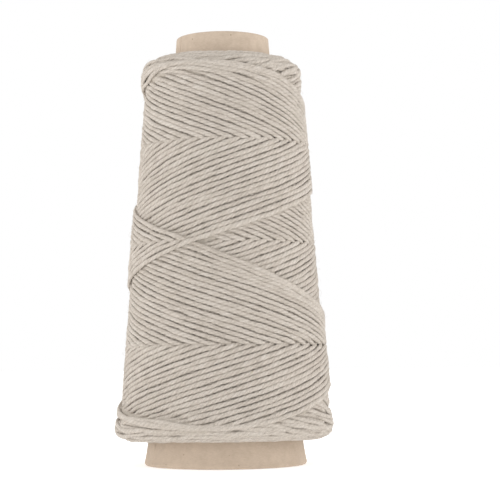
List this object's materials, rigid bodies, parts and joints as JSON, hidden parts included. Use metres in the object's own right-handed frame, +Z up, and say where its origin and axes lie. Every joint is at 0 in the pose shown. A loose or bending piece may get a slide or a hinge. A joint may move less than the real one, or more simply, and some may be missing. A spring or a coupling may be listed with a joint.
{
  "type": "wound thread cone",
  "caption": "Tapered paper cone cross-wound with plain twisted linen-coloured sewing thread, for feeding thread off the nose or holding on a spindle.",
  "frame": {"origin": "centre of the ring that the cone's wide base stands on", "axes": "+Z up the cone's axis from the wide base to the narrow nose; the body is round about Z; -Y is the viewed front"},
  "size_m": [0.0864, 0.0864, 0.17],
  "materials": {
    "liner_paper": "matte",
    "board": "matte",
    "kraft_paper": "matte",
    "thread": "matte, slightly fuzzy"
  },
  "bodies": {
    "root": {"cone_inner_ply": "liner_paper", "cone_board": "board", "cone_outer_ply": "kraft_paper", "thread_inner_turns": "thread", "thread_outer_turns": "thread"}
  },
  "joints": []
}
